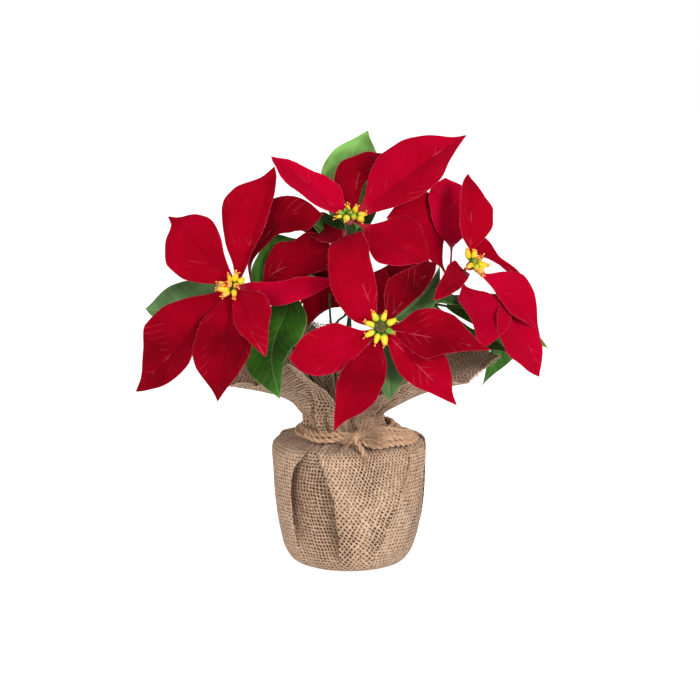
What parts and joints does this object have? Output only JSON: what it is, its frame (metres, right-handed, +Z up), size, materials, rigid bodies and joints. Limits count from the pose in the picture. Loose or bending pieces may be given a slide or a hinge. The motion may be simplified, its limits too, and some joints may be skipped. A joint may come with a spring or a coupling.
{
  "type": "potted poinsettia",
  "caption": "Artificial red poinsettia bush in a burlap-wrapped pot tied with twine; stands on a surface as a decoration.",
  "frame": {"origin": "on the surface it stands on, under the middle of the pot", "axes": "+Z up; -Y towards the viewer of the picture, the side the blooms face; +X to the viewer's right"},
  "size_m": [0.2747, 0.1791, 0.2845],
  "materials": {
    "bract": "matte",
    "leaf": "matte",
    "bud": "satin",
    "burlap": "matte",
    "twine": "matte",
    "pot": "matte",
    "plug": "matte"
  },
  "bodies": {
    "root": {"nursery_pot": "pot", "filler_plug": "plug", "burlap_wrap": "burlap", "jute_twine": "twine", "left_stem": "leaf", "top_stem": "leaf", "right_stem": "leaf", "front_stem": "leaf", "back_stem": "leaf", "left_bracts": "bract", "top_bracts": "bract", "right_bracts": "bract", "front_bracts": "bract", "back_bracts": "bract", "left_cyathia": "bud", "top_cyathia": "bud", "right_cyathia": "bud", "front_cyathia": "bud", "back_cyathia": "bud"}
  },
  "joints": []
}
